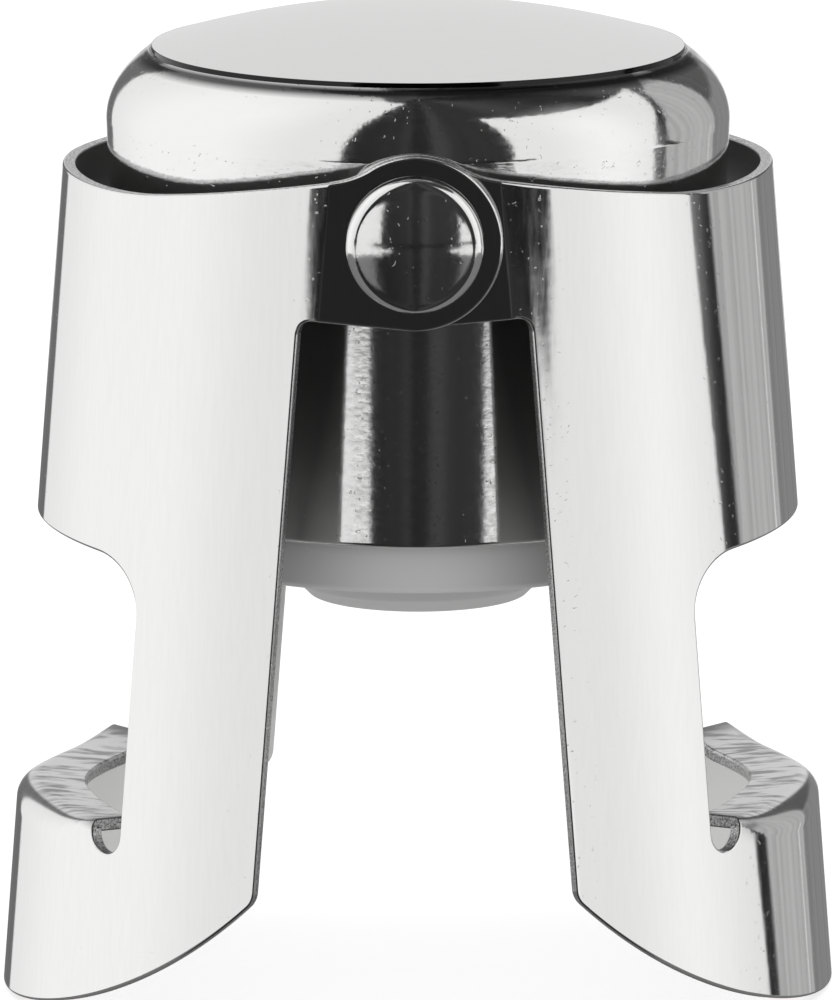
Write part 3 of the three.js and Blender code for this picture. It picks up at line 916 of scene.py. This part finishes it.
def cap_section(cap, inset):
    """Dome, shoulder and lip of the cap's outer face, or of its inner face when inset by the sheet."""
    crease = math.degrees(math.acos((cap.crease - cap.radius + SHOULDER_WIDTH) / SHOULDER_WIDTH))
    centre = (cap.radius - SHOULDER_WIDTH, SHOULDER_FOOT)
    radii = (SHOULDER_WIDTH - inset, SHOULDER_RISE - inset)
    shoulder = arc(centre, radii, crease, 0, SHOULDER_STEPS)
    drawn_in = (SHOULDER_FOOT - LIP_HEIGHT) * math.tan(CAP_DRAFT)
    centre = (cap.radius - LIP_RADIUS - drawn_in, LIP_HEIGHT)
    radii = (LIP_RADIUS - inset, LIP_RADIUS - inset)
    lip = arc(centre, radii, -math.degrees(CAP_DRAFT), -90, LIP_STEPS)
    edge = cap.crease - DOME_INSET
    dome = []
    for i in range(DOME_STEPS + 1):
        share = i / DOME_STEPS
        dome.append(Vector((edge * share, CAP_TOP - inset - cap.dome * share**2)))
    return dome, shoulder, lip


def crease_painted_shade(point, ridge):
    """Painted shade in the crease's groove and, fading, on the shoulder outside its ridge."""
    past = (point.x - ridge.x) / MM
    if abs(point.y - ridge.y) > PAINTED_SHADE_BAND * MM or past < GROOVE_START:
        return 0
    if past < RIDGE_START:
        return 1
    if past < SHOULDER_START:
        return RIDGE_PAINTED_SHADE
    return max(0, min(SHOULDER_PAINTED_SHADE, SHOULDER_PAINTED_SHADE - FADE_RATE * (past - FADE_START)))


class STOPPER_OT_cap(bpy.types.Operator):
    """Draws the cap's shell"""

    bl_idname = "stopper.cap"
    bl_label = "Cap"

    def execute(self, context):
        wing, cap, _ = settings()
        dome, shoulder, lip = cap_section(cap, 0)
        ridge = shoulder[0]
        groove = [ridge + Vector(step) * MM for step in GROOVE]
        outside = dome + groove + shoulder[GROOVE_COVERS:] + lip
        inside = [point for part in cap_section(cap, CAP_SHEET) for point in part]
        section = inside + list(reversed(outside))
        # Painted shade in the crease's groove and on the shoulder below it
        painted_shading = [crease_painted_shade(point, ridge) for point in section]
        finish = steel("cap_steel", wing.colour, 0.08, CAP_MARKS)
        place = Matrix.Translation(PIVOT)
        piece = revolve("cap_shell_drawn", section, SHELL_SEGMENTS, place, finish, painted_shading)
        set_down(piece, "cap", "polished_steel", "cap_shell")
        return {"FINISHED"}


def sleeve_section(cap):
    """Section of the sleeve with the flange that holds it in the cap."""
    outer = cap.sleeve
    inner = outer - SLEEVE_SHEET
    flange = outer + FLANGE_WIDTH
    low, under, top = cap.sleeve_bottom, FLANGE_HEIGHT, FLANGE_HEIGHT + SLEEVE_SHEET
    return filleted(
        [
            (inner, 0, 0),
            (inner, low, SLEEVE_EDGE),
            (outer, low, SLEEVE_ROUNDING),
            (outer, under, SLEEVE_EDGE),
            (flange, under, SLEEVE_EDGE),
            (flange, top, SLEEVE_EDGE),
            (inner, top, SLEEVE_EDGE),
            (inner, 0, 0),
        ]
    )


def seal_section(seal):
    """Section of the seal: the tapered boss, the disc and the hole that takes the plunger."""
    return filleted(
        [
            (0, BOSS_END, 0),
            (seal.boss - 1.0 * MM, BOSS_END, 0.2 * MM),
            (seal.boss - 0.3 * MM, BOSS_END + 0.7 * MM, 0.3 * MM),
            (seal.boss, SEAL_FACE, 0.25 * MM),
            (seal.radius, SEAL_FACE, 0.35 * MM),
            (seal.radius, SEAL_BACK, 0.2 * MM),
            (SEAL_HOLE, SEAL_BACK, 0.1 * MM),
            (SEAL_HOLE, SEAL_HOLE_END, 0.1 * MM),
            (0, SEAL_HOLE_END, 0),
        ]
    )


class STOPPER_OT_body(bpy.types.Operator):
    """Makes the sleeve, the seal and the finishes of the pieces inside"""

    bl_idname = "stopper.body"
    bl_label = "Body and seal"

    def execute(self, context):
        wing, cap, seal = settings()
        place = Matrix.Translation(PIVOT)
        finish = steel("sleeve_steel", wing.colour, 0.1, SLEEVE_MARKS)
        sleeve = revolve("body_sleeve_drawn", sleeve_section(cap), SHELL_SEGMENTS, place, finish)
        set_down(sleeve, "cap", "polished_steel", "body_sleeve")
        rubber = moulded("seal_rubber", seal.colour, 0.5)
        disc = revolve("seal_moulding", seal_section(seal), SEAL_SEGMENTS, place, rubber)
        set_down(disc, "plunger", "grey_rubber", "seal")
        inside = {
            "cap_core": moulded("core_plastic", (0.03, 0.03, 0.032), 0.5),
            "plunger": moulded("plunger_plastic", (0.2, 0.21, 0.21), 0.45),
            "spring": steel("spring_wire", (0.5, 0.5, 0.51), 0.25, SPRING_MARKS),
        }
        plain = steel("turned_steel", (0.75, 0.75, 0.74), 0.2, TURNED_MARKS)
        for name, cad in frame["nodes"].items():
            if cad.hide_render or name in ("front_rivet", "rear_rivet"):
                continue
            cad.data.materials.clear()
            cad.data.materials.append(inside.get(name, plain))
        return {"FINISHED"}


def rivet_section():
    """Section of a rivet along its axis, from the closed tail inside the core to the domed head."""
    low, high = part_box("front_rivet")
    seat, top, tail = PAD_FACE + WING_SHIFT + HEAD_GAP, -low.y, -high.y
    dome = HEAD_RADIUS - HEAD_EDGE
    crown = []
    for i in range(HEAD_STEPS):
        share = i / HEAD_STEPS
        crown.append(Vector((dome * share, top - HEAD_RISE * share**2)))
    crown += arc((dome, top - HEAD_RISE - HEAD_EDGE), (HEAD_EDGE, HEAD_EDGE), 90, 0, 10)
    stem = filleted(
        [
            (0, tail, 0),
            (SHANK_RADIUS, tail, 0.05 * MM),
            (TAIL_RADIUS, tail + TAIL_LENGTH / 2, 0.1 * MM),
            (TAIL_RADIUS, tail + TAIL_LENGTH, 0.1 * MM),
            (SHANK_RADIUS, tail + TAIL_LENGTH, 0),
            (SHANK_RADIUS, seat, 0),
            (HEAD_RADIUS, seat, 0),
        ]
    )
    return stem + list(reversed(crown))


class STOPPER_OT_rivets(bpy.types.Operator):
    """Heads the two rivets"""

    bl_idname = "stopper.rivets"
    bl_label = "Rivets"

    def execute(self, context):
        wing = settings()[0]
        finish = steel("rivet_steel", wing.colour, 0.11, RIVET_MARKS)
        section = rivet_section()
        lying = Matrix.Rotation(math.pi / 2, 4, "X")
        for side, turn in (("front", 0), ("rear", math.pi)):
            place = Matrix.Translation(PIVOT) @ Matrix.Rotation(turn, 4, "Z") @ lying
            piece = revolve(f"{side}_rivet_headed", section, RIVET_SEGMENTS, place, finish)
            set_down(piece, "cap", "polished_steel", f"{side}_rivet")
        return {"FINISHED"}


# Light tent, in degrees: azimuth 0 is towards the camera and + to its right, elevation 0 is level.
# A side edge has its azimuth at level, the bow above level, the lean and where the lean starts. An
# upper edge has its elevation at azimuth 0 and its slope.
Side = namedtuple("Side", "start bow lean lean_from", defaults=(0, 0, -5))
Panel = namedtuple("Panel", "level left right bottom top soft")
PANELS = (
    # Left bank with a soft brighter field
    Panel(0.86, Side(-155, 0.0068), Side(-27.5, 0.0003), -14.5, (83, 0), 1.2),
    Panel(1.0, Side(-135, 0.003), Side(-62), -30, (66, 0), 22),
    # Right bank with a soft brighter field
    Panel(0.86, Side(35.8, 0, -0.5, -7.5), Side(98.3, 0.0165, 2.5, -5), -14.5, (66, -0.17), 0.8),
    Panel(1.0, Side(62), Side(92), -30, (48, 0), 16),
    # Dimmer panels behind the right bank, with a thin bright gap
    Panel(0.46, Side(105, 0.0155, 1.55, -3), Side(142), -14.5, (38, 0), 1.2),
    Panel(0.24, Side(142), Side(200), -14.5, (8, 0), 2.0),
    Panel(0.8, Side(137.0), Side(137.6), -14.5, (-3, 0), 0.3),
    # Low bright strips on both sides of the camera
    Panel(1.0, Side(-28), Side(-20), -12.2, (-9.7, 0), 0.6),
    Panel(1.0, Side(29), Side(36.5), -12.2, (-9.7, 0), 0.6),
    # Dark opening under the camera
    Panel(0.015, Side(-35.2, 0, 3.2, -6.8), Side(5), -8.5, (-4.8, 0), 0.2),
    Panel(0.015, Side(0), Side(44.4, 0, -4.2, -6.1), -7.28, (-4.8, 0), 0.12),
    # Grey ground on both sides
    Panel(0.2, Side(-200), Side(-34), -100, (-14.5, 0), 3),
    Panel(0.2, Side(38), Side(200), -100, (-14.5, 0), 3),
)
# Below this elevation the side edges stop leaning, over this much on either side
LEAN_END = -10.1
LEAN_END_SOFT = 0.3
# How soft a lower edge may be, and an upper edge that lies below level
LOWER_SOFT = 0.8
UPPER_SOFT = 0.5

# The panel behind the object: half its width at level, how it widens, its ends and their softness
BACK_LEVEL = 0.75
BACK_WIDTH = 10
BACK_SPREAD = 0.33
BACK_SIDE_SOFT = 1.5
BACK_TOP, BACK_TOP_SOFT = 62, 2.0
BACK_BOTTOM, BACK_BOTTOM_SOFT = -9.5, 0.5

# Folds in the bright panels: noise along the azimuth, its levels, and where a panel counts as bright
FOLD_SCALE = 0.3
FOLD_RANGE = (0.3, 0.7)
FOLD_LEVELS = (0.86, 1.1)
BRIGHT_RANGE = (0.5, 0.7)

# The floor's own grey, and how much it glows for the camera so that it shows as white
FLOOR_GREY = 0.5
FLOOR_GLOW = 0.7
CAMERA_CLIP = (0.05, 20)

# Levels between the panels, by azimuth
SURROUND = (
    (-180, 0.17),
    (-140, 0.15),
    (-60, 0.07),
    (-25, 0.018),
    (-7, 0.028),
    (-4, 0.042),
    (-1, 0.018),
    (4, 0.02),
    (7, 0.055),
    (11, 0.055),
    (14, 0.032),
    (36, 0.03),
    (60, 0.06),
    (97, 0.025),
    (112, 0.03),
    (125, 0.1),
    (180, 0.1),
)


def ramp(tree, value, stops, low, high):
    """A grey ramp through (place, level) stops, where the place runs from low to high."""
    made = node(tree, "ShaderNodeValToRGB", {0: blend(tree, value, 0.0, 1.0, (low, high))})
    elements = made.color_ramp.elements
    while len(elements) < len(stops):
        elements.new(0.5)
    for element, (place, level) in zip(elements, stops):
        element.position = (place - low) / (high - low)
        element.color = grey(level)
    return made.outputs[0]


class STOPPER_OT_studio(bpy.types.Operator):
    """Sets up the light tent, the floor and the camera"""

    bl_idname = "stopper.studio"
    bl_label = "Studio"

    def execute(self, context):
        scene = context.scene
        scene.view_settings.view_transform = "Standard"
        build_world(scene.stopper_studio)
        build_floor(scene.stopper_studio)
        data = bpy.data.cameras.new("camera")
        data.lens = FOCAL_PX * SENSOR / PHOTO_HEIGHT_PX
        data.sensor_width = SENSOR
        data.clip_start, data.clip_end = CAMERA_CLIP
        camera = bpy.data.objects.new("camera", data)
        scene.collection.objects.link(camera)
        level = math.cos(CAMERA_ELEVATION)
        x, y = math.sin(CAMERA_AZIMUTH) * level, -math.cos(CAMERA_AZIMUTH) * level
        away = Vector((x, y, math.sin(CAMERA_ELEVATION)))
        camera.location = CAMERA_TARGET + away * CAMERA_DISTANCE
        camera.rotation_euler = (-away).to_track_quat("-Z", "Y").to_euler()
        scene.camera = camera
        return {"FINISHED"}


def above(tree, value, edge, soft):
    """Mask that rises from 0 to 1 where the value passes the edge."""
    low = math_node(tree, "SUBTRACT", edge, soft)
    high = math_node(tree, "ADD", edge, soft)
    made = node(tree, "ShaderNodeMapRange", {"Value": value, "From Min": low, "From Max": high})
    made.interpolation_type = "SMOOTHSTEP"
    return made.outputs[0]


def side_edge(tree, elevation, side):
    """Azimuth of a panel's side edge at each elevation."""
    high = math_node(tree, "MAXIMUM", elevation, 0.0)
    low = math_node(tree, "MAXIMUM", math_node(tree, "SUBTRACT", side.lean_from, elevation), 0.0)
    low = math_node(tree, "MULTIPLY", low, above(tree, elevation, LEAN_END, LEAN_END_SOFT))
    bowed = math_node(tree, "MULTIPLY", math_node(tree, "MULTIPLY", high, high), side.bow)
    leaned = math_node(tree, "MULTIPLY", low, side.lean)
    return math_node(tree, "ADD", math_node(tree, "ADD", bowed, leaned), side.start)


def panel_mask(tree, azimuth, elevation, panel):
    """Where a panel of the tent is seen."""
    mask = above(tree, azimuth, side_edge(tree, elevation, panel.left), panel.soft)
    past = above(tree, azimuth, side_edge(tree, elevation, panel.right), panel.soft)
    mask = math_node(tree, "SUBTRACT", mask, past, clamp=True)
    risen = above(tree, elevation, panel.bottom, min(panel.soft, LOWER_SOFT))
    mask = math_node(tree, "MULTIPLY", mask, risen)
    top, slope = panel.top
    top_edge = math_node(tree, "ADD", math_node(tree, "MULTIPLY", azimuth, slope), top)
    over = above(tree, elevation, top_edge, panel.soft if top > 0 else min(panel.soft, UPPER_SOFT))
    return math_node(tree, "MULTIPLY", mask, math_node(tree, "SUBTRACT", 1.0, over))


def back_mask(tree, azimuth, elevation):
    """Where the panel behind the object is seen."""
    behind = math_node(tree, "SUBTRACT", 180.0, math_node(tree, "ABSOLUTE", azimuth))
    spread = math_node(tree, "MULTIPLY", math_node(tree, "MAXIMUM", elevation, 0.0), BACK_SPREAD)
    beside = above(tree, behind, math_node(tree, "ADD", BACK_WIDTH, spread), BACK_SIDE_SOFT)
    mask = math_node(tree, "SUBTRACT", 1.0, beside)
    risen = above(tree, elevation, BACK_BOTTOM, BACK_BOTTOM_SOFT)
    mask = math_node(tree, "MULTIPLY", mask, risen)
    over = above(tree, elevation, BACK_TOP, BACK_TOP_SOFT)
    return math_node(tree, "MULTIPLY", mask, math_node(tree, "SUBTRACT", 1.0, over))


def folded(tree, azimuth, level):
    """The level with soft folds where a panel is bright."""
    inputs = {"W": azimuth, "Scale": FOLD_SCALE, "Detail": 2.0}
    folds = node(tree, "ShaderNodeTexNoise", inputs, noise_dimensions="1D").outputs[0]
    uneven = blend(tree, folds, *FOLD_LEVELS, FOLD_RANGE)
    bright = blend(tree, level, 0.0, 1.0, BRIGHT_RANGE)
    return math_node(tree, "MULTIPLY", level, blend(tree, bright, uneven, 1.0))


def build_world(studio):
    """The world: white for the camera, even light for soft surfaces, a tent of panels for the metal."""
    world = bpy.data.worlds.new("light_tent")
    bpy.context.scene.world = world
    world.use_nodes = True
    tree = world.node_tree
    tree.nodes.clear()
    direction = node(tree, "ShaderNodeTexCoord").outputs["Generated"]
    parts = node(tree, "ShaderNodeSeparateXYZ", {0: direction}).outputs
    turned = math_node(tree, "ARCTAN2", parts[0], math_node(tree, "MULTIPLY", parts[1], -1.0))
    azimuth = math_node(tree, "MULTIPLY", turned, math.degrees(1))
    elevation = math_node(tree, "MULTIPLY", math_node(tree, "ARCSINE", parts[2]), math.degrees(1))
    level = ramp(tree, azimuth, SURROUND, -180, 180)
    for panel in PANELS:
        mask = panel_mask(tree, azimuth, elevation, panel)
        level = mix_colour(tree, mask, level, grey(panel.level * studio.panel))
    level = mix_colour(tree, back_mask(tree, azimuth, elevation), level, grey(BACK_LEVEL * studio.panel))
    tent = folded(tree, azimuth, level)
    rays = node(tree, "ShaderNodeLightPath").outputs
    level = mix_colour(tree, rays["Is Glossy Ray"], grey(studio.soft_light), tent)
    level = mix_colour(tree, rays["Is Camera Ray"], level, grey(1))
    background = node(tree, "ShaderNodeBackground", {"Color": level, "Strength": 1.0})
    output = node(tree, "ShaderNodeOutputWorld")
    tree.links.new(background.outputs[0], output.inputs["Surface"])


def build_floor(studio):
    """A plain white floor that shows the object's shadow, and nothing from below."""
    half = studio.floor / 2
    corners = [(-half, -half, 0), (half, -half, 0), (half, half, 0), (-half, half, 0)]
    mesh = bpy.data.meshes.new("floor")
    mesh.from_pydata(corners, [], [(0, 1, 2, 3)])
    material, tree, shader = material_with("floor_white")
    shader.inputs["Base Color"].default_value = grey(FLOOR_GREY)
    shader.inputs["Roughness"].default_value = 1
    shader.inputs["Specular IOR Level"].default_value = 0
    shader.inputs["Emission Color"].default_value = grey(1)
    camera_ray = node(tree, "ShaderNodeLightPath").outputs["Is Camera Ray"]
    glow = math_node(tree, "MULTIPLY", camera_ray, FLOOR_GLOW)
    tree.links.new(glow, shader.inputs["Emission Strength"])
    clear = node(tree, "ShaderNodeBsdfTransparent")
    side = node(tree, "ShaderNodeNewGeometry").outputs["Backfacing"]
    mixed = node(tree, "ShaderNodeMixShader", {0: side, 1: shader.outputs[0], 2: clear.outputs[0]})
    tree.links.new(mixed.outputs[0], tree.nodes["Material Output"].inputs["Surface"])
    mesh.materials.append(material)
    floor = bpy.data.objects.new("floor", mesh)
    floor.visible_glossy = False
    floor.visible_diffuse = False
    bpy.context.scene.collection.objects.link(floor)


class STOPPER_PT_panel(bpy.types.Panel):
    """Buttons and sizes of the stopper"""

    bl_idname = "STOPPER_PT_panel"
    bl_label = "Stopper"
    bl_space_type = "VIEW_3D"
    bl_region_type = "UI"
    bl_category = "Stopper"

    def draw(self, context):
        for operator in OPERATORS:
            self.layout.operator(operator.bl_idname)
        for name in GROUPS:
            group = getattr(context.scene, name)
            for key in group.__annotations__:
                self.layout.prop(group, key)


OPERATORS = (STOPPER_OT_wings, STOPPER_OT_cap, STOPPER_OT_body, STOPPER_OT_rivets, STOPPER_OT_studio)
GROUPS = {
    "stopper_wing": WingSettings,
    "stopper_cap": CapSettings,
    "stopper_seal": SealSettings,
    "stopper_studio": StudioSettings,
}


def register():
    for made in (*GROUPS.values(), *OPERATORS, STOPPER_PT_panel):
        bpy.utils.register_class(made)
    for name, group in GROUPS.items():
        setattr(bpy.types.Scene, name, bpy.props.PointerProperty(type=group))


def unregister():
    for name in GROUPS:
        delattr(bpy.types.Scene, name)
    for made in reversed((*GROUPS.values(), *OPERATORS, STOPPER_PT_panel)):
        bpy.utils.unregister_class(made)


def main():
    register()
    bpy.ops.stopper.wings()
    bpy.ops.stopper.cap()
    bpy.ops.stopper.rivets()
    bpy.ops.stopper.body()
    bpy.ops.stopper.studio()


if __name__ == "__main__":
    main()
